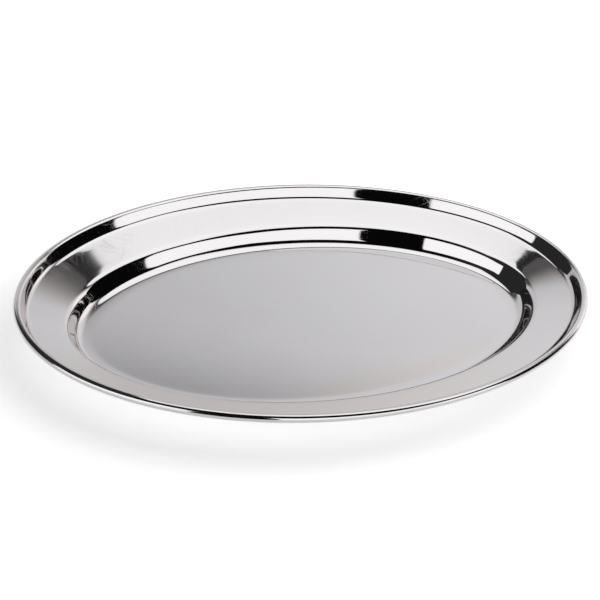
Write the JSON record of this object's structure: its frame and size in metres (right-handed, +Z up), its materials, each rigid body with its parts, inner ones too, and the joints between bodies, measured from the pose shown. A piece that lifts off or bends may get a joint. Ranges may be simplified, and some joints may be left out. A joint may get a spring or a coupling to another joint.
{
  "type": "oval serving platter",
  "caption": "Oval serving platter of mirror-polished stainless steel: flat well, coved wall, broad sloping brim, and a raised edge curled over a wire.",
  "frame": {"origin": "bottom centre of the bounding box: the middle of the well's underside, on the table", "axes": "+X along the oval's long axis, +Y along its short axis, +Z up out of the well"},
  "size_m": [0.4, 0.26, 0.0273],
  "materials": {
    "polished_steel": "mirror-polished stainless steel",
    "drawn_wire": "plain drawn steel wire"
  },
  "bodies": {
    "root": {"tray_pressing": "polished_steel", "rim_wire": "drawn_wire"}
  },
  "joints": []
}
